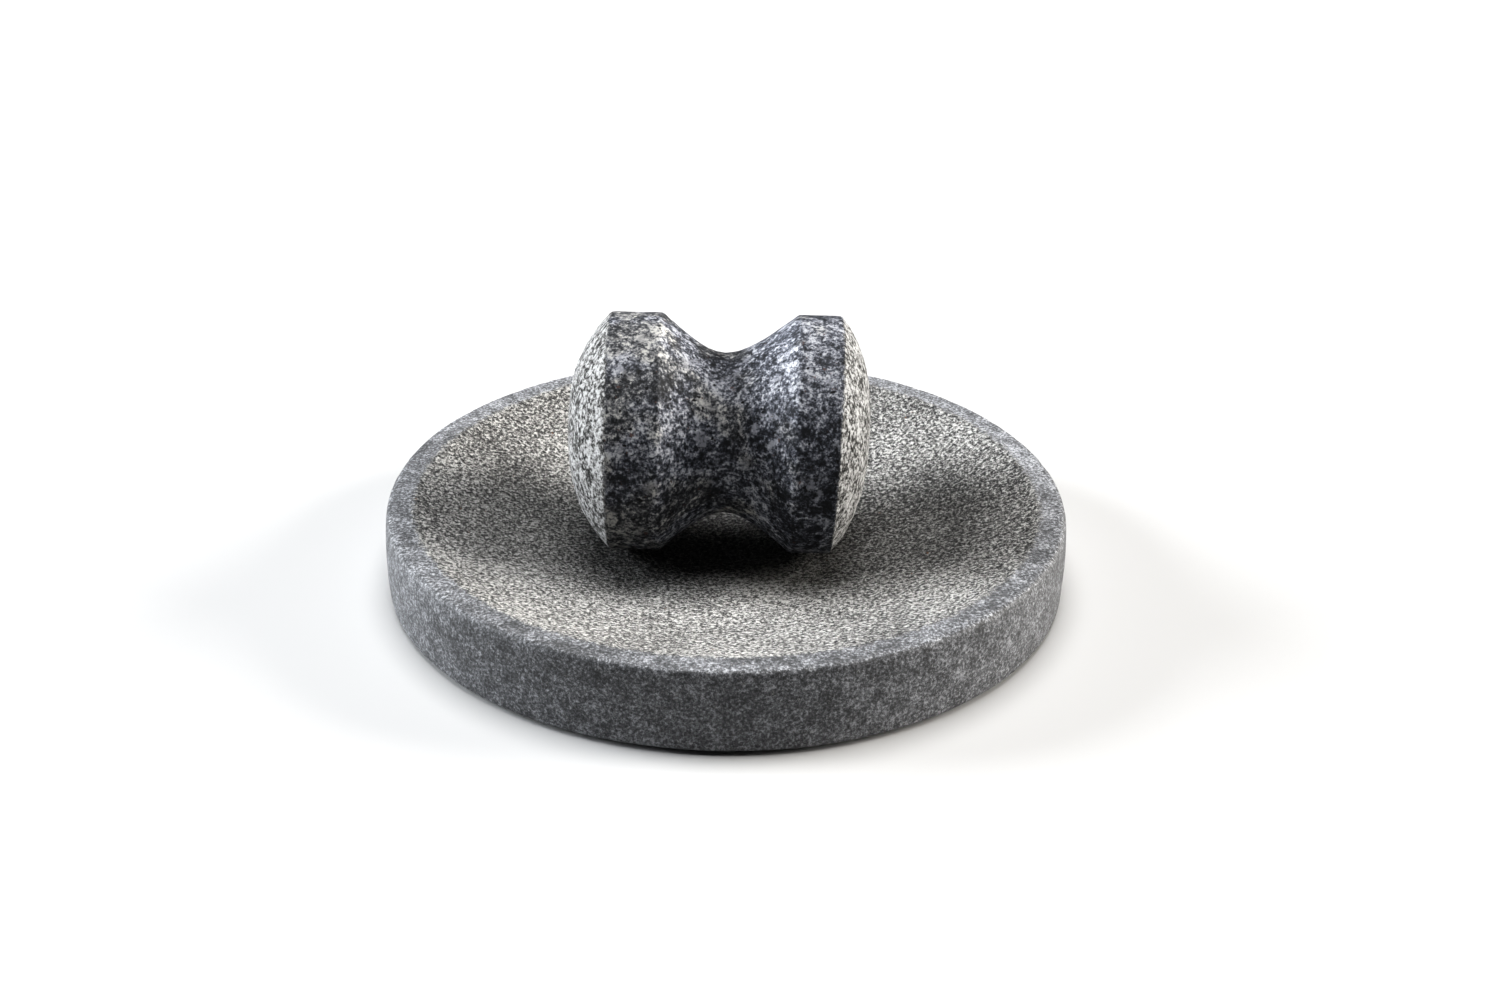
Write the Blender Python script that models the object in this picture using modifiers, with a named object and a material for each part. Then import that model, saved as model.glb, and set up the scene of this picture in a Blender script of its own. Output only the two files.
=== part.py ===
"""A shallow round stone dish with a loose, spool-shaped handstone lying across it.

Two separate stones, both turned shapes:

  dish    a thick disc with a flat rim band and a shallow spherical hollow, standing on its
          flat underside
  pestle  a spool with two domed heads, a straight band round each head, and a narrow
          throat between them to hold it by; it lies on its bands across the hollow

Units are metres. +Z is up and the origin is at the middle of the dish's underside. The
pestle's long axis lies along X, and the pestle lifts straight up, along +Z.
"""

import math

import bpy

# ---------------------------------------------------------------- driving dimensions

DISH_RADIUS = 0.100         # widest, half way up the side wall
DISH_HEIGHT = 0.025
RIM_RADIUS = 0.099          # the side wall leans in a little above its middle
BASE_RADIUS = 0.0995        # and less below it
HOLLOW_RADIUS = 0.091       # inner edge of the flat rim band
FLOOR_THICKNESS = 0.0070    # stone left under the middle of the hollow
RIM_ROUND = 0.0016          # rounding of the rim's outer edge
BASE_ROUND = 0.0014         # rounding of the edge it stands on

HEAD_RADIUS = 0.0345        # the straight bands of the pestle
THROAT_RADIUS = 0.0232      # its narrowest section
THROAT_BLEND = 0.0088       # how gently the throat turns into the cones on both sides
BAND_OUTER = 0.0329         # from the middle to the outer edge of both bands
BAND_INNER_LEFT = 0.0180    # from the middle to the inner edge of the wider, left band
BAND_INNER_RIGHT = 0.0206   # and of the right band
DOME_LEFT = 0.0122          # how far the left end bulges out of its band
DOME_RIGHT = 0.0098         # and the right end
DOME_FLATNESS = 2.8         # power of the dome's curve: 2 is a plain parabola

PESTLE_OFFSET = -0.0010     # the pestle's middle, along X
PESTLE_YAW = math.radians(-1.2)
RESTING_GAP = 0.0003        # between the pestle's bands and the hollow

DISH_SEGMENTS = 72
PESTLE_SEGMENTS = 48
HOLLOW_RINGS = 11
WALL_RINGS = 4
ROUND_RINGS = 3
DOME_RINGS = 7
THROAT_RINGS = 12
SHARP_ANGLE = math.radians(25)


# ---------------------------------------------------------------- profiles
# A profile is a list of (radius, height) points, from the top of the axis, down the
# outside, to the bottom of the axis.

def spaced(count):
    """Fractions 0 to 1 in `count` equal steps."""
    return [step / count for step in range(count + 1)]


def hollow_curvature():
    """Radius of the sphere that the hollow is part of."""
    depth = DISH_HEIGHT - FLOOR_THICKNESS
    return (HOLLOW_RADIUS ** 2 + depth ** 2) / (2 * depth)


def hollow_height(radius):
    """Height of the hollow's surface at a distance from the dish's axis."""
    sphere = hollow_curvature()
    return FLOOR_THICKNESS + sphere - math.sqrt(sphere ** 2 - radius ** 2)


def quarter_round(centre, size, start_angle):
    """A quarter circle, turning clockwise from start_angle."""
    points = []
    for fraction in spaced(ROUND_RINGS):
        angle = start_angle - fraction * math.pi / 2
        points.append((centre[0] + size * math.cos(angle), centre[1] + size * math.sin(angle)))
    return points


def wall_radius(height):
    """The side wall: a curve through base, middle and rim radius."""
    up = 2 * height / DISH_HEIGHT - 1
    end_radius = RIM_RADIUS if up > 0 else BASE_RADIUS
    return DISH_RADIUS - (DISH_RADIUS - end_radius) * up ** 2


def dish_profile():
    hollow = [(HOLLOW_RADIUS * f, hollow_height(HOLLOW_RADIUS * f)) for f in spaced(HOLLOW_RINGS)]
    wall_top = DISH_HEIGHT - RIM_ROUND
    rim = quarter_round((wall_radius(wall_top) - RIM_ROUND, wall_top), RIM_ROUND, math.pi / 2)
    wall = []
    for fraction in spaced(WALL_RINGS)[1:-1]:
        height = wall_top + fraction * (BASE_ROUND - wall_top)
        wall.append((wall_radius(height), height))
    base = quarter_round((wall_radius(BASE_ROUND) - BASE_ROUND, BASE_ROUND), BASE_ROUND, 0)
    return hollow + rim + wall + base + [(0, 0)]


def dome(band_edge, bulge):
    """A head's domed end, from its pole to the edge of its band."""
    points = []
    for fraction in spaced(DOME_RINGS):
        share = math.sin(fraction * math.pi / 2)
        points.append((HEAD_RADIUS * share, band_edge + bulge * (1 - share ** DOME_FLATNESS)))
    return points


def throat(band_edge):
    """From a band's inner edge to the pestle's middle: a cone that rounds into the throat."""
    rise = HEAD_RADIUS - THROAT_RADIUS
    slope = math.sqrt((rise + THROAT_BLEND) ** 2 - THROAT_BLEND ** 2) / band_edge
    points = []
    for fraction in spaced(THROAT_RINGS // 2):
        along = band_edge * (1 - fraction)
        radius = THROAT_RADIUS - THROAT_BLEND + math.hypot(THROAT_BLEND, slope * along)
        points.append((radius, along))
    return points


def mirrored(points):
    """The same outline on the lower half, still running from top to bottom."""
    return [(radius, -height) for radius, height in reversed(points)]


def pestle_profile():
    right = dome(BAND_OUTER, DOME_RIGHT) + throat(BAND_INNER_RIGHT)
    left = dome(BAND_OUTER, DOME_LEFT) + throat(BAND_INNER_LEFT)
    return right[:-1] + mirrored(left)


def pestle_height():
    """Height of the pestle's axis when its bands rest in the hollow."""
    furthest_edge = BAND_OUTER + abs(PESTLE_OFFSET)
    return hollow_height(furthest_edge) + RESTING_GAP + HEAD_RADIUS


# ---------------------------------------------------------------- building

def clear_scene():
    for old in list(bpy.data.objects):
        bpy.data.objects.remove(old, do_unlink=True)


def new_collection(name):
    collection = bpy.data.collections.new(name)
    bpy.context.scene.collection.children.link(collection)
    return collection


def stone(name, colour, roughness):
    material = bpy.data.materials.new(name)
    material.use_nodes = True
    shader = material.node_tree.nodes["Principled BSDF"]
    shader.inputs["Base Color"].default_value = (*colour, 1)
    shader.inputs["Roughness"].default_value = roughness
    shader.inputs["Metallic"].default_value = 0
    return material


def turned(name, profile, segments, material, collection):
    """A solid of revolution about its own Z axis."""
    mesh = bpy.data.meshes.new(name)
    vertices = [(radius, 0, height) for radius, height in profile]
    edges = [(index, index + 1) for index in range(len(profile) - 1)]
    mesh.from_pydata(vertices, edges, [])
    mesh.materials.append(material)
    turned_object = bpy.data.objects.new(name, mesh)
    collection.objects.link(turned_object)
    screw = turned_object.modifiers.new("Turned", "SCREW")
    screw.axis = "Z"
    screw.steps = segments
    screw.render_steps = segments
    screw.use_merge_vertices = True
    screw.merge_threshold = 0.00001
    bake(turned_object)
    return turned_object


def bake(turned_object):
    """Turn the evaluated shape into the object's own mesh, shaded smooth between its edges."""
    depsgraph = bpy.context.evaluated_depsgraph_get()
    solid = bpy.data.meshes.new_from_object(turned_object.evaluated_get(depsgraph))
    profile_mesh = turned_object.data
    turned_object.modifiers.clear()
    turned_object.data = solid
    solid.shade_smooth()
    solid.set_sharp_from_angle(angle=SHARP_ANGLE)
    bpy.data.meshes.remove(profile_mesh)
    solid.name = turned_object.name


def make_dish(collection):
    material = stone("dish_stone", (0.20, 0.21, 0.22), 0.75)
    return turned("dish", dish_profile(), DISH_SEGMENTS, material, collection)


def make_pestle(collection):
    """The spool is turned upright, then laid down along X."""
    material = stone("pestle_stone", (0.24, 0.25, 0.27), 0.70)
    pestle = turned("pestle", pestle_profile(), PESTLE_SEGMENTS, material, collection)
    pestle.location = (PESTLE_OFFSET, 0, pestle_height())
    pestle.rotation_euler = (0, math.pi / 2, PESTLE_YAW)
    return pestle


def main():
    clear_scene()
    collection = new_collection("molcajete")
    make_dish(collection)
    make_pestle(collection)


main()
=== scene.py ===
"""The looks of a shallow round stone dish and its loose, spool-shaped pestle.

Each stone is one fine mesh, turned again from the outline of its CAD solid, with worn edges
and hand-cut unevenness carved into it. Carving only ever takes stone away, and the pestle's
leaning ends are no longer than the CAD's at the bottom, so the two stones stay clear of
each other at every pose.
"""

import math

import bpy
import numpy as np
from mathutils import Matrix, Vector, noise


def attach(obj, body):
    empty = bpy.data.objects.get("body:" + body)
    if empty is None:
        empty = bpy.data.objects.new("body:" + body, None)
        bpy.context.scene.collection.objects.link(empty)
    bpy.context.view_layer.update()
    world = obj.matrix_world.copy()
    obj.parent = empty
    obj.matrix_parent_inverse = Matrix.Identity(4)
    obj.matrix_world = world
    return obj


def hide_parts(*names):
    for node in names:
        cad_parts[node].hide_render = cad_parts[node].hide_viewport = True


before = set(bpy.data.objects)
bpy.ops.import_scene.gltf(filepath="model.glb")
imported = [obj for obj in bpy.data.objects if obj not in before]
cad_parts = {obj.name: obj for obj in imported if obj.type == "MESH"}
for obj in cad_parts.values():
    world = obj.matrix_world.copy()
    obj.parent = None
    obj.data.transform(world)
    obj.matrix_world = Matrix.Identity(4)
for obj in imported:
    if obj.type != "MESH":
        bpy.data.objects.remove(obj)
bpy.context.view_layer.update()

MM = 0.001

# ---------------------------------------------------------------- driving values

# Camera: it looks along +Y from above the front of the dish.
CAMERA_DISTANCE = 594 * MM
CAMERA_ELEVATION = math.radians(29.45)
AIM_SIDEWAYS = math.radians(0.67)
AIM_UP = math.radians(1.90)
CAMERA_ROLL = math.radians(0.99)
LENS_MM = 47.4

# Mesh density.
DISH_SEGMENTS = 768
DISH_SPACING = 0.88 * MM
PESTLE_SEGMENTS = 320
PESTLE_SPACING = 0.65 * MM
OUTLINE_STEP = 0.1 * MM
EDGE_WEAR = 0.45 * MM       # how far wear rounds an edge, along the outline
CORNER_TURN = math.radians(12)
RINGS_PER_RADIAN = 7        # extra rings where the outline turns
FLAT_UNDERSIDE = -0.99      # the cosine of the outline's heading is below this there
FACES_UP = 0.5              # a normal that rises more than this belongs to an upper side
RING_SLACK = 0.6            # corners closer than this share of the ring gap are halved
NEAR = 0.01 * MM            # heights or radii this close count as equal
INSIDE_RIM = (0.93, 0.24)   # a point deep in the rim, in shares of radius and height

# Carving: (greatest depth, size of its features).
DISH_WAVES = (0.22 * MM, 55 * MM)
DISH_TOOLING = (0.12 * MM, 12 * MM)
HOLLOW_PECKS = (0.30 * MM, 3.2 * MM)
DISH_CHIPS = (0.9 * MM, 5 * MM)
PESTLE_WAVES = (0.12 * MM, 30 * MM)
PESTLE_TOOLING = (0.10 * MM, 7 * MM)
END_PECKS = (0.22 * MM, 2.4 * MM)
PESTLE_CHIPS = (0.8 * MM, 3 * MM)
WHOLE_EDGE = 0.55           # noise below this leaves an edge unchipped
HOLLOW_FADE = 4 * MM        # how gradually the pecking starts at the hollow's edge
END_FADE = 2.4 * MM         # and at the edges of the pestle's ends
UNCARVED = 0.02             # the share of the dish's height that stays flat underneath

# The dish's bottom edge is broken all round, which leaves a dark line above the floor.
UNDERCUT = 3.0 * MM
UNDERCUT_HEIGHT = 1.7 * MM
UNDERCUT_FROM = 0.90        # where it starts and where it is full, in shares of the radius
UNDERCUT_FULL = 0.98

# Neither of the pestle's ends is quite square to its axis.
RIGHT_END_LEAN = 1.3 * MM
RIGHT_END_SHORT = 0.6 * MM
LEFT_END_LEAN = 0.7 * MM

# Zones of the materials. Each fades in from its first distance to its second, in mm.
UNSHADED_EDGE = (66, 90)        # the hollow's outer part, clear of the painted shade, by distance from its axis
UNSHADED_SIDES = (14, 50)       # and its sides, clear of the painted shade, by distance from its middle line
PAST_THROAT = (3, 12)       # painted light on the pestle's cones, by distance from its middle
BEFORE_BAND = (21, 18)      # and where they stop, before its bands
SCUFF_AND_SHEEN_ZONE = (-0.1, 0.4)   # the rim's scuffing and painted sheen, by height above the rim, raised by the finest noise

# How bright each zone's stone is: (outside the zone, inside it).
# The hollow's pair darkens its middle: painted shade, the pestle's shadow.
HOLLOW_PAINTED_SHADE = (0.62, 1.13)
# The cones' pair is painted light.
CONE_PAINTED_LIGHT = (0.92, 1.24)
# The rim's pair is scuffing together with a painted sheen.
RIM_SCUFF_AND_SHEEN = (1.0, 1.55)

# Roughness: (honed stone, pecked stone), and how far the finest grains vary it.
DISH_ROUGHNESS = (0.56, 0.80)
PESTLE_ROUGHNESS = (0.66, 0.80)
GRAIN_ROUGHNESS = 0.12

# Relief that is too small for the mesh, in mm.
PECK_RELIEF = 0.75
DISH_GRAIN_RELIEF = 0.03
PESTLE_GRAIN_RELIEF = 0.06
MICA_RELIEF = -0.10

# Colours of single minerals and stains.
HOLLOW_RUST = (0.17, 0.085, 0.045)
PESTLE_RUST = (0.100, 0.055, 0.045)
FELDSPAR = (0.40, 0.41, 0.45)
MICA = (0.005, 0.005, 0.006)
EARTHY_TINT = (1.0, 0.96, 0.84)

# Studio.
FLOOR_SHADE = 0.58
BACKDROP_SHADE = 0.66       # what the camera sees past the floor
AMBIENT_SHADE = 0.01        # what lights the stones from all round
FLOOR_ROUGHNESS = 0.9
FLOOR_SIZE = 16


# ---------------------------------------------------------------- outlines from the frame

def cad_section(node, to_local=None):
    """(radius, height) of every ring of a turned CAD node, about its local Z axis."""
    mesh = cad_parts[node].data
    points = np.empty(len(mesh.vertices) * 3)
    mesh.vertices.foreach_get("co", points)
    points = points.reshape(-1, 3)
    if to_local is not None:
        matrix = np.array(to_local)
        points = points @ matrix[:3, :3].T + matrix[:3, 3]
    radius = np.hypot(points[:, 0], points[:, 1])
    return np.unique(np.round(np.column_stack([radius, points[:, 2]]), 4), axis=0)


def dish_outline():
    """The dish's section from the middle of its hollow, over the rim, to the middle of its
    underside: its rings in the order seen from a point deep inside the rim."""
    section = cad_section("dish")
    heart = np.array(INSIDE_RIM) * section.max(axis=0)
    away = section - heart
    turn = np.arctan2(away[:, 1], -away[:, 0])
    turn[turn < -math.pi / 4] += 2 * math.pi
    around = section[np.argsort(turn)]
    around = around[(around[:, 0] > 0) | (around[:, 1] > 0)]
    return np.vstack([around, [0, 0]])


def pestle_place():
    """Where the pestle rests: its local Z runs along its axis towards +X, local X is up and
    local Y is the side that faces the front of the dish."""
    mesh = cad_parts["pestle"].data
    points = np.unique([tuple(round(c, 6) for c in v.co) for v in mesh.vertices], axis=0)
    centre = points.mean(axis=0)
    directions = np.linalg.svd(points - centre, full_matrices=False)[2]
    along = Vector(directions[np.argmax(np.abs(directions[:, 0]))])
    if along.x < 0:
        along.negate()
    side = along.cross(Vector((0, 0, 1))).normalized()
    up = side.cross(along)
    place = Matrix((up, side, along)).transposed().to_4x4()
    place.translation = Vector(centre)
    return place


def pestle_outline(place):
    """The pestle's section from the pole of its right end to that of its left end."""
    section = cad_section("pestle", place.inverted())
    return section[np.argsort(-section[:, 1])]


# ---------------------------------------------------------------- smooth outlines

def turn_angles(points):
    """How far the outline turns at each inner point."""
    steps = np.diff(points, axis=0)
    heading = np.unwrap(np.arctan2(steps[:, 1], steps[:, 0]))
    return np.abs(np.diff(heading))


def curve_through(run):
    """A smooth curve through a run of outline points, sampled every OUTLINE_STEP."""
    length = np.concatenate([[0], np.cumsum(np.hypot(*np.diff(run, axis=0).T))])
    if len(run) == 2:
        slope = np.repeat([(run[1] - run[0]) / length[1]], 2, axis=0)
    else:
        slope = np.gradient(run, length, axis=0, edge_order=2)
    for end in (0, -1):
        if run[end][0] == 0:
            slope[end] = [math.copysign(1, slope[end][0]), 0]
    count = max(int(length[-1] / OUTLINE_STEP), 2)
    at = np.linspace(0, length[-1], count)
    piece = np.clip(np.searchsorted(length, at, side="right") - 1, 0, len(run) - 2)
    span = (length[piece + 1] - length[piece])[:, None]
    t = (at - length[piece])[:, None] / span
    return (
        (2 * t**3 - 3 * t**2 + 1) * run[piece]
        + (t**3 - 2 * t**2 + t) * span * slope[piece]
        + (3 * t**2 - 2 * t**3) * run[piece + 1]
        + (t**3 - t**2) * span * slope[piece + 1]
    )


def worn(dense, wear):
    """The outline with its corners rounded, as a moving average along it."""
    reach = int(4 * wear / OUTLINE_STEP)
    weights = np.exp(-0.5 * (np.arange(-reach, reach + 1) * OUTLINE_STEP / wear) ** 2)
    weights /= weights.sum()
    flip = np.array([-1, 1])
    padded = np.vstack([dense[reach:0:-1] * flip, dense, dense[-2:-reach - 2:-1] * flip])
    smooth = np.column_stack([np.convolve(padded[:, k], weights, "valid") for k in (0, 1)])
    smooth[[0, -1], 0] = 0
    return smooth


def ring_outline(outline, spacing, under_factor=1):
    """Rings along the worn outline, closer together where it turns, and further apart by
    under_factor on a flat underside.

    Each is (radius, height, outward normal, how sharply the outline turns there)."""
    gaps = np.hypot(*np.diff(outline, axis=0).T)
    outline = outline[np.concatenate([[True], gaps > OUTLINE_STEP])]
    corners = np.flatnonzero(turn_angles(outline) > CORNER_TURN) + 1
    ends = [0, *corners, len(outline) - 1]
    runs = [curve_through(outline[a:b + 1]) for a, b in zip(ends[:-1], ends[1:])]
    dense = worn(np.vstack([runs[0]] + [run[1:] for run in runs[1:]]), EDGE_WEAR)
    steps = np.diff(dense, axis=0)
    step_length = np.hypot(*steps.T)
    heading = np.unwrap(np.arctan2(steps[:, 1], steps[:, 0]))
    turn = np.abs(np.gradient(heading))
    underneath = np.cos(heading) < FLAT_UNDERSIDE
    step_spacing = np.where(underneath, spacing * under_factor, spacing)
    step_effort = step_length / step_spacing + turn * RINGS_PER_RADIAN
    effort = np.concatenate([[0], np.cumsum(step_effort)])
    at = np.linspace(0, effort[-1], int(effort[-1]))
    middle = (effort[1:] + effort[:-1]) / 2
    sharpness = np.interp(at, middle, turn / step_length * EDGE_WEAR)
    tilt = np.interp(at, middle, heading)
    return [
        (np.interp(a, effort, dense[:, 0]), np.interp(a, effort, dense[:, 1]),
         (-math.sin(h), math.cos(h)), s)
        for a, h, s in zip(at, tilt, sharpness)
    ]


# ---------------------------------------------------------------- turned meshes

def ring_counts(rings, segments, spacing):
    """Corners on each ring: halved towards the axis, and where rings lie far apart, so that
    faces stay about square."""
    counts = []
    for index, (radius, height, *_) in enumerate(rings):
        beyond = rings[min(index + 1, len(rings) - 1)]
        gap = max(math.hypot(beyond[0] - radius, beyond[1] - height), spacing)
        count = segments
        girth = 2 * math.pi * radius
        while count > 6 and count % 2 == 0 and girth / count < RING_SLACK * gap:
            count //= 2
        if counts and counts[-1] > 1:
            count = max(count, counts[-1] // 2)
        counts.append(count)
    counts[0] = counts[-1] = 1
    return counts


def faces_between(upper, lower):
    """Faces that join one ring of vertex numbers to the next, which has the same number of
    corners, twice as many, half as many, or only one."""
    if len(upper) == 1:
        return [(upper[0], lower[k], lower[(k + 1) % len(lower)]) for k in range(len(lower))]
    if len(lower) == 1:
        return [(upper[k], lower[0], upper[(k + 1) % len(upper)]) for k in range(len(upper))]
    faces = []
    if len(upper) == len(lower):
        for k in range(len(upper)):
            following = (k + 1) % len(upper)
            faces.append((upper[k], lower[k], lower[following], upper[following]))
    elif len(lower) == 2 * len(upper):
        for k in range(len(upper)):
            first, second, third = lower[2 * k], lower[2 * k + 1], lower[(2 * k + 2) % len(lower)]
            following = upper[(k + 1) % len(upper)]
            faces += [(upper[k], first, second), (upper[k], second, following)]
            faces.append((following, second, third))
    else:
        for k in range(len(lower)):
            first, second, third = upper[2 * k], upper[2 * k + 1], upper[(2 * k + 2) % len(upper)]
            following = lower[(k + 1) % len(lower)]
            faces += [(first, lower[k], second), (second, lower[k], following)]
            faces.append((second, following, third))
    return faces


def turned_stone(name, rings, segments, spacing, carve, place=None):
    """A closed stone from its rings. carve(point, normal, ring, angle) gives the carved
    point and how pecked it is; place moves the finished stone from local space."""
    vertices, pecked, faces = [], [], []
    previous = None
    for ring, count in zip(rings, ring_counts(rings, segments, spacing)):
        radius, height, (out, up), _ = ring
        numbers = list(range(len(vertices), len(vertices) + count))
        for k in range(count):
            angle = 2 * math.pi * k / count
            around = Vector((math.cos(angle), math.sin(angle), 0))
            point = around * radius + Vector((0, 0, height))
            normal = around * out + Vector((0, 0, up))
            carved, share = carve(point, normal, ring, angle)
            vertices.append(place @ carved if place else carved)
            pecked.append(share)
        if previous:
            faces += faces_between(previous, numbers)
        previous = numbers
    mesh = bpy.data.meshes.new(name)
    mesh.from_pydata(vertices, [], faces)
    mesh.attributes.new("pecked", "FLOAT", "POINT").data.foreach_set("value", pecked)
    mesh.shade_smooth()
    stone = bpy.data.objects.new(name, mesh)
    bpy.context.scene.collection.objects.link(stone)
    return stone


def smoothstep(low, high, value):
    """From 0 at low to 1 at high, level beyond both."""
    t = min(max((value - low) / (high - low), 0), 1)
    return t * t * (3 - 2 * t)


def uneven(point, size, octaves=3):
    """Fractal noise from 0 to 1, whose largest features measure size."""
    value = noise.fractal(point / size, 1.0, 2.0, octaves, noise_basis="PERLIN_ORIGINAL")
    return min(max(0.5 + 0.6 * value, 0), 1)


def carving(point, kind, octaves=3):
    """How deep a kind of carving, (depth, size), goes here."""
    depth, size = kind
    return depth * uneven(point, size, octaves)


def chipping(point, sharpness, kind):
    """How deep the chips in an edge, (depth, size), go here: most of the edge is whole."""
    depth, size = kind
    lost = max(uneven(point, size) - WHOLE_EDGE, 0) / (1 - WHOLE_EDGE)
    return depth * min(sharpness, 1) * lost


def fading(distance, fade):
    """From 0 to 1 over a length of fade, half way at distance 0."""
    return min(max(distance / fade + 0.5, 0), 1)


# ---------------------------------------------------------------- the dish

def make_dish():
    outline = dish_outline()
    rings = ring_outline(outline, DISH_SPACING, under_factor=3)
    rim_height = outline[:, 1].max()
    hollow_radius = outline[outline[:, 1] > rim_height - NEAR][0][0]
    edge_radius = outline[:, 0].max()
    lowest = rim_height * UNCARVED

    def carve(point, normal, ring, angle):
        radius, height, (_, up), sharpness = ring
        in_hollow = fading(hollow_radius - radius, HOLLOW_FADE) if up > FACES_UP else 0
        depth = carving(point, DISH_WAVES) + carving(point, DISH_TOOLING)
        depth += in_hollow * carving(point, HOLLOW_PECKS, 2)
        depth += chipping(point, sharpness, DISH_CHIPS)
        if height < lowest:
            depth = 0
        undercut = 1 - smoothstep(0, UNDERCUT_HEIGHT, height)
        undercut *= smoothstep(UNDERCUT_FROM, UNDERCUT_FULL, radius / edge_radius) * UNDERCUT
        sideways = Vector((math.cos(angle), math.sin(angle), 0)) * undercut
        return point - normal * depth - sideways, in_hollow

    return turned_stone("dish_stone", rings, DISH_SEGMENTS, DISH_SPACING, carve)


# ---------------------------------------------------------------- the pestle

def make_pestle():
    place = pestle_place()
    outline = pestle_outline(place)
    rings = ring_outline(outline, PESTLE_SPACING)
    head_radius = outline[:, 0].max()
    bands = outline[outline[:, 0] > head_radius - NEAR][:, 1]
    band_outer = (bands.max() - bands.min()) / 2
    middle = (bands.max() + bands.min()) / 2

    def lean(point):
        """The ends' planes lean a little from square."""
        across_up, across_front = point.x / head_radius, point.y / head_radius
        right = smoothstep(0, band_outer, point.z)
        left = smoothstep(0, band_outer, -point.z)
        shift = right * (RIGHT_END_LEAN * across_up - RIGHT_END_SHORT)
        return shift + left * LEFT_END_LEAN * across_front

    def carve(point, normal, ring, _angle):
        _, height, _, sharpness = ring
        on_end = fading(abs(height - middle) - band_outer, END_FADE)
        depth = carving(point, PESTLE_WAVES) + carving(point, PESTLE_TOOLING)
        depth += on_end * carving(point, END_PECKS, 2)
        depth += chipping(point, sharpness, PESTLE_CHIPS)
        carved = point - normal * depth
        carved.z += lean(point)
        return carved, on_end

    return turned_stone("pestle_stone", rings, PESTLE_SEGMENTS, PESTLE_SPACING, carve, place)


# ---------------------------------------------------------------- node helpers

class Graph:
    """A material's node tree, built a node at a time."""

    def __init__(self, name):
        self.material = bpy.data.materials.new(name)
        self.material.use_nodes = True
        self.tree = self.material.node_tree
        self.shader = self.tree.nodes["Principled BSDF"]
        position = self.tree.nodes.new("ShaderNodeTexCoord").outputs["Object"]
        self.place = self.scaled(position, 1 / MM)

    def node(self, kind, inputs, output=0, **settings):
        made = self.tree.nodes.new("ShaderNode" + kind)
        for key, value in settings.items():
            setattr(made, key, value)
        for key, value in inputs.items():
            self.feed(made.inputs[key], value)
        return made.outputs[output]

    def feed(self, socket, value):
        if isinstance(value, bpy.types.NodeSocket):
            self.tree.links.new(value, socket)
        else:
            socket.default_value = value

    def scaled(self, vector, factor):
        return self.node("VectorMath", {0: vector, "Scale": factor}, operation="SCALE")

    def maths(self, operation, a, b=0.0):
        return self.node("Math", {0: a, 1: b}, operation=operation)

    def noise(self, size, detail=2.0, roughness=0.5, offset=0.0, distortion=0.0):
        """Noise, 0 to 1 about 0.5, whose largest features measure size in mm."""
        place = self.node("VectorMath", {0: self.place, 1: (offset, offset * 0.7, -offset)})
        settings = {"Vector": place, "Scale": 1 / size, "Detail": detail}
        settings.update({"Roughness": roughness, "Distortion": distortion})
        return self.node("TexNoise", settings, "Fac")

    def spread(self, value, low, high, to_low=0.0, to_high=1.0, kind="SMOOTHSTEP"):
        """Maps low..high onto to_low..to_high, level beyond both."""
        ends = {"Value": value, "From Min": low, "From Max": high}
        ends.update({"To Min": to_low, "To Max": to_high})
        return self.node("MapRange", ends, interpolation_type=kind)

    def blend(self, share, a, b, kind="MIX"):
        """Colour a where share is 0, and where it is 1, b (or a times b for MULTIPLY)."""
        a, b = [(*c, 1) if isinstance(c, tuple) else c for c in (a, b)]
        return self.node("Mix", {0: share, 6: a, 7: b}, 2, data_type="RGBA", blend_type=kind)

    def total(self, *parts):
        """The sum of values, each times its weight."""
        whole = 0.0
        for value, weight in parts:
            whole = self.node("Math", {0: value, 1: weight, 2: whole}, operation="MULTIPLY_ADD")
        return whole

    def shades(self, value, stops):
        """Colours from dark to light along value: stops are (value, colour)."""
        ramp = self.tree.nodes.new("ShaderNodeValToRGB")
        for _ in stops[2:]:
            ramp.color_ramp.elements.new(0.5)
        for element, (position, colour) in zip(ramp.color_ramp.elements, stops):
            element.position = position
            element.color = (*colour, 1)
        self.feed(ramp.inputs[0], value)
        return ramp.outputs["Color"]

    def from_middle(self, across, deep):
        """Distance from the dish's axis in mm, with X and Y counted at these rates."""
        flat = self.node("VectorMath", {0: self.place, 1: (across, deep, 0)}, operation="MULTIPLY")
        return self.node("VectorMath", {0: flat}, "Value", operation="LENGTH")

    def along(self, axis):
        """The place along X (0), Y (1) or Z (2), in mm."""
        return self.node("SeparateXYZ", {0: self.place}, axis)

    def pecked_zone(self, start, full, size, weight, offset):
        """0 where the stone is honed and 1 where it is pecked, with a ragged edge between:
        noise of this size in mm moves the edge by its weight."""
        pecked = self.node("Attribute", {}, "Fac", attribute_name="pecked")
        ragged = self.noise(size, 3, 0.75, offset)
        return self.spread(self.total((ragged, weight), (pecked, 1.0)), start, full)

    def roughness(self, zone, grain, honed, pecked):
        """Roughness from honed to pecked stone over a zone, varied a little by the grains."""
        return self.total((self.spread(zone, 0, 1, honed, pecked), 1.0), (grain, GRAIN_ROUGHNESS))

    def finish(self, colour, roughness, height):
        """The material with this colour, roughness and relief, whose height is in mm."""
        bump = self.node("Bump", {"Height": height, "Distance": MM}, "Normal")
        self.feed(self.shader.inputs["Base Color"], colour)
        self.feed(self.shader.inputs["Roughness"], roughness)
        self.feed(self.shader.inputs["Normal"], bump)
        return self.material


# ---------------------------------------------------------------- materials

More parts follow.
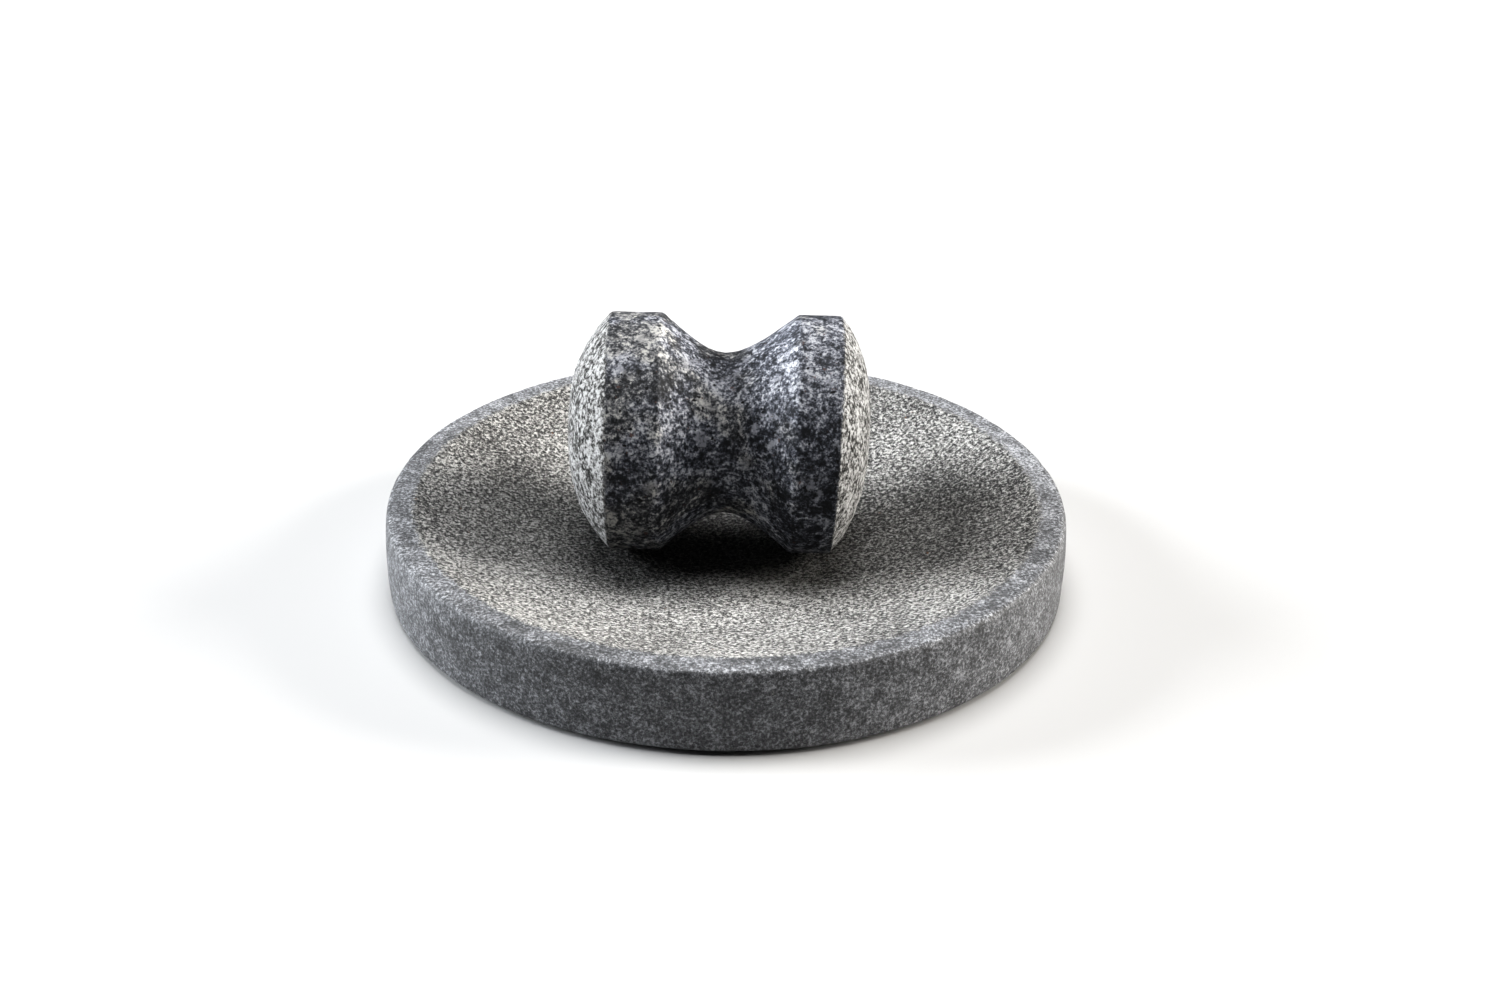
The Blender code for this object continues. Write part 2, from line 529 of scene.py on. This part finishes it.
def dish_material():
    """Dark grey stone: honed on the wall and rim, pecked rough and pale in the hollow."""
    graph = Graph("dish_granite")

    fine = graph.noise(0.85, 4, 0.8)
    blotch = graph.noise(4.5, 2, 0.6, offset=31)
    cloud = graph.noise(60, 2, 0.5, offset=1047)
    crystals = graph.total((fine, 0.68), (blotch, 0.18), (cloud, 0.14))
    honed = graph.shades(graph.spread(crystals, 0.368, 0.636), [
        (0.0, (0.036, 0.037, 0.038)),
        (0.42, (0.094, 0.096, 0.101)),
        (0.72, (0.192, 0.196, 0.208)),
        (1.0, (0.370, 0.377, 0.392)),
    ])
    # The flat rim is made paler than the wall: partly scuffing, partly a painted sheen of light on
    # its flat top.
    rim = max(vertex.co.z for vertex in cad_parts["dish"].data.vertices) / MM
    raised = graph.total((graph.along(2), 1.0), (fine, 1.2))
    scuff_and_sheen = graph.spread(raised, rim + SCUFF_AND_SHEEN_ZONE[0], rim + SCUFF_AND_SHEEN_ZONE[1], *RIM_SCUFF_AND_SHEEN)
    honed = graph.scaled(honed, scuff_and_sheen)

    peck = graph.noise(1.0, 3, 0.8, offset=12)
    field = graph.noise(45, 3, 0.5, offset=666)
    hollow = graph.shades(graph.spread(graph.total((field, 0.16), (peck, 0.84)), 0.362, 0.638), [
        (0.0, (0.025, 0.025, 0.026)),
        (0.36, (0.125, 0.124, 0.121)),
        (0.66, (0.320, 0.317, 0.307)),
        (1.0, (0.620, 0.615, 0.602)),
    ])
    # The hollow is painted darkest along its middle, under the pestle and beyond its ends: painted
    # shade, the pestle's shadow put into the stone's colour.
    unshaded_edge = graph.spread(graph.from_middle(1, 1), *UNSHADED_EDGE)
    unshaded_sides = graph.spread(graph.from_middle(0, 1), *UNSHADED_SIDES)
    pale = graph.maths("MAXIMUM", unshaded_edge, unshaded_sides)
    hollow = graph.scaled(hollow, graph.spread(pale, 0, 1, *HOLLOW_PAINTED_SHADE, kind="LINEAR"))
    rust = graph.spread(graph.noise(2.6, 2, 0.6, offset=140), 0.735, 0.775)
    hollow = graph.blend(rust, hollow, HOLLOW_RUST)

    in_hollow = graph.pecked_zone(0.92, 1.42, size=2.0, weight=1.6, offset=5)
    colour = graph.blend(in_hollow, honed, hollow)
    pecks = graph.maths("MULTIPLY", peck, in_hollow)
    height = graph.total((pecks, PECK_RELIEF), (fine, DISH_GRAIN_RELIEF))
    return graph.finish(colour, graph.roughness(in_hollow, fine, *DISH_ROUGHNESS), height)


def pestle_material():
    """Coarse blue-black and white granite: honed bands and cones, pale pecked ends."""
    graph = Graph("pestle_granite")

    fine = graph.noise(0.9, 3, 0.7, offset=40)
    crystal = graph.noise(2.6, 4, 0.62, offset=3, distortion=0.3)
    # The large patches are the stone's own tone, placed so that dark ones lie on the pestle's
    # lower front and lighter ones on its top: painted shade and light.
    patch_and_shade = graph.noise(16, 3, 0.5, offset=238)
    mixed = graph.total((fine, 0.42), (crystal, 0.37), (patch_and_shade, 0.21))
    honed = graph.shades(graph.spread(mixed, 0.395, 0.61), [
        (0.0, (0.008, 0.009, 0.012)),
        (0.32, (0.044, 0.048, 0.060)),
        (0.58, (0.130, 0.137, 0.162)),
        (0.80, (0.300, 0.309, 0.342)),
        (1.0, (0.540, 0.550, 0.580)),
    ])
    feldspar = graph.spread(graph.noise(5.2, 4, 0.68, offset=239), 0.57, 0.67)
    honed = graph.blend(graph.maths("MULTIPLY", feldspar, 0.6), honed, FELDSPAR)
    # Painted light: the cones are made paler than the rolling bands and the narrow throat.
    from_throat = graph.maths("ABSOLUTE", graph.along(0))
    past_throat = graph.spread(from_throat, *PAST_THROAT)
    before_band = graph.spread(from_throat, *BEFORE_BAND)
    flank = graph.maths("MULTIPLY", past_throat, before_band)
    honed = graph.scaled(honed, graph.spread(flank, 0, 1, *CONE_PAINTED_LIGHT, kind="LINEAR"))
    # A warm tint in patches, more of it towards the left end.
    earthy = graph.total((graph.noise(12, 2, 0.5, offset=88), 1.0), (graph.along(0), -0.004))
    earthy = graph.spread(earthy, 0.46, 0.66)
    honed = graph.blend(graph.maths("MULTIPLY", earthy, 0.8), honed, EARTHY_TINT, "MULTIPLY")
    rust = graph.spread(graph.noise(2.2, 2, 0.6, offset=61), 0.69, 0.74)
    honed = graph.blend(graph.maths("MULTIPLY", rust, 0.8), honed, PESTLE_RUST)
    mica = graph.spread(graph.noise(1.7, 1, 0.5, offset=331), 0.70, 0.74)
    honed = graph.blend(mica, honed, MICA)

    peck = graph.noise(1.3, 4, 0.75, offset=9)
    dust = graph.noise(5, 3, 0.6, offset=23)
    ends = graph.shades(graph.spread(graph.total((peck, 0.74), (dust, 0.26)), 0.37, 0.60), [
        (0.0, (0.012, 0.012, 0.012)),
        (0.28, (0.060, 0.059, 0.057)),
        (0.54, (0.215, 0.213, 0.208)),
        (1.0, (0.550, 0.552, 0.555)),
    ])

    on_end = graph.pecked_zone(1.08, 1.42, size=1.8, weight=1.5, offset=71)
    colour = graph.blend(on_end, honed, ends)
    pecks = graph.maths("MULTIPLY", peck, on_end)
    height = graph.total((pecks, PECK_RELIEF), (fine, PESTLE_GRAIN_RELIEF), (mica, MICA_RELIEF))
    return graph.finish(colour, graph.roughness(on_end, fine, *PESTLE_ROUGHNESS), height)


# ---------------------------------------------------------------- studio

def grey(shade):
    return (shade, shade, shade, 1)


def make_floor():
    bpy.ops.mesh.primitive_plane_add(size=FLOOR_SIZE)
    floor = bpy.context.active_object
    floor.name = "floor"
    material = bpy.data.materials.new("pale_floor")
    material.use_nodes = True
    shader = material.node_tree.nodes["Principled BSDF"]
    shader.inputs["Base Color"].default_value = grey(FLOOR_SHADE)
    shader.inputs["Roughness"].default_value = FLOOR_ROUGHNESS
    floor.data.materials.append(material)


def soft_light(name, azimuth, elevation, strength, softness, colour):
    """A distant soft light. Its angles are in degrees: azimuth goes from +X towards +Y, and
    softness is how wide the light looks from the stones."""
    light = bpy.data.lights.new(name, "SUN")
    light.energy = strength
    light.angle = math.radians(softness)
    light.color = colour
    lamp = bpy.data.objects.new(name, light)
    turn = Matrix.Rotation(math.radians(azimuth), 4, "Z")
    tip = Matrix.Rotation(math.radians(90 - elevation), 4, "Y")
    lamp.matrix_world = turn @ tip
    bpy.context.scene.collection.objects.link(lamp)


def make_world():
    world = bpy.data.worlds.new("studio")
    world.use_nodes = True
    nodes, links = world.node_tree.nodes, world.node_tree.links
    backdrop, ambient = nodes["Background"], nodes.new("ShaderNodeBackground")
    backdrop.inputs["Color"].default_value = grey(BACKDROP_SHADE)
    ambient.inputs["Color"].default_value = grey(AMBIENT_SHADE)
    seen, mix = nodes.new("ShaderNodeLightPath"), nodes.new("ShaderNodeMixShader")
    links.new(seen.outputs["Is Camera Ray"], mix.inputs[0])
    links.new(ambient.outputs[0], mix.inputs[1])
    links.new(backdrop.outputs[0], mix.inputs[2])
    links.new(mix.outputs[0], nodes["World Output"].inputs["Surface"])
    bpy.context.scene.world = world


def make_camera():
    camera_data = bpy.data.cameras.new("camera")
    camera_data.lens = LENS_MM
    camera_data.clip_start = 10 * MM
    camera = bpy.data.objects.new("camera", camera_data)
    bpy.context.scene.collection.objects.link(camera)
    flat, rise = math.cos(CAMERA_ELEVATION), math.sin(CAMERA_ELEVATION)
    place = Vector((0, -flat, rise)) * CAMERA_DISTANCE
    ahead, up = Vector((0, flat, -rise)), Vector((0, rise, flat))
    ahead = ahead + Vector((math.tan(AIM_SIDEWAYS), 0, 0)) + up * math.tan(AIM_UP)
    upright = ahead.to_track_quat("-Z", "Y").to_matrix().to_4x4()
    roll = Matrix.Rotation(CAMERA_ROLL, 4, "Z")
    camera.matrix_world = Matrix.Translation(place) @ upright @ roll
    bpy.context.scene.camera = camera


# ---------------------------------------------------------------- the scene

dish = make_dish()
dish.data.materials.append(dish_material())
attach(dish, "dish")
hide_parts("dish")

pestle = make_pestle()
pestle.data.materials.append(pestle_material())
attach(pestle, "pestle")
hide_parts("pestle")

make_floor()
make_world()
make_camera()
soft_light(
    "left_softbox", azimuth=166, elevation=17, strength=3.9, softness=34, colour=(0.94, 0.97, 1.0)
)
soft_light(
    "right_softbox", azimuth=11, elevation=16, strength=3.7, softness=34, colour=(1.0, 0.965, 0.91)
)
soft_light(
    "top_softbox", azimuth=90, elevation=83, strength=2.3, softness=42, colour=(1, 1, 1)
)
bpy.context.scene.view_settings.view_transform = "Standard"
bpy.context.scene.view_settings.look = "High Contrast"
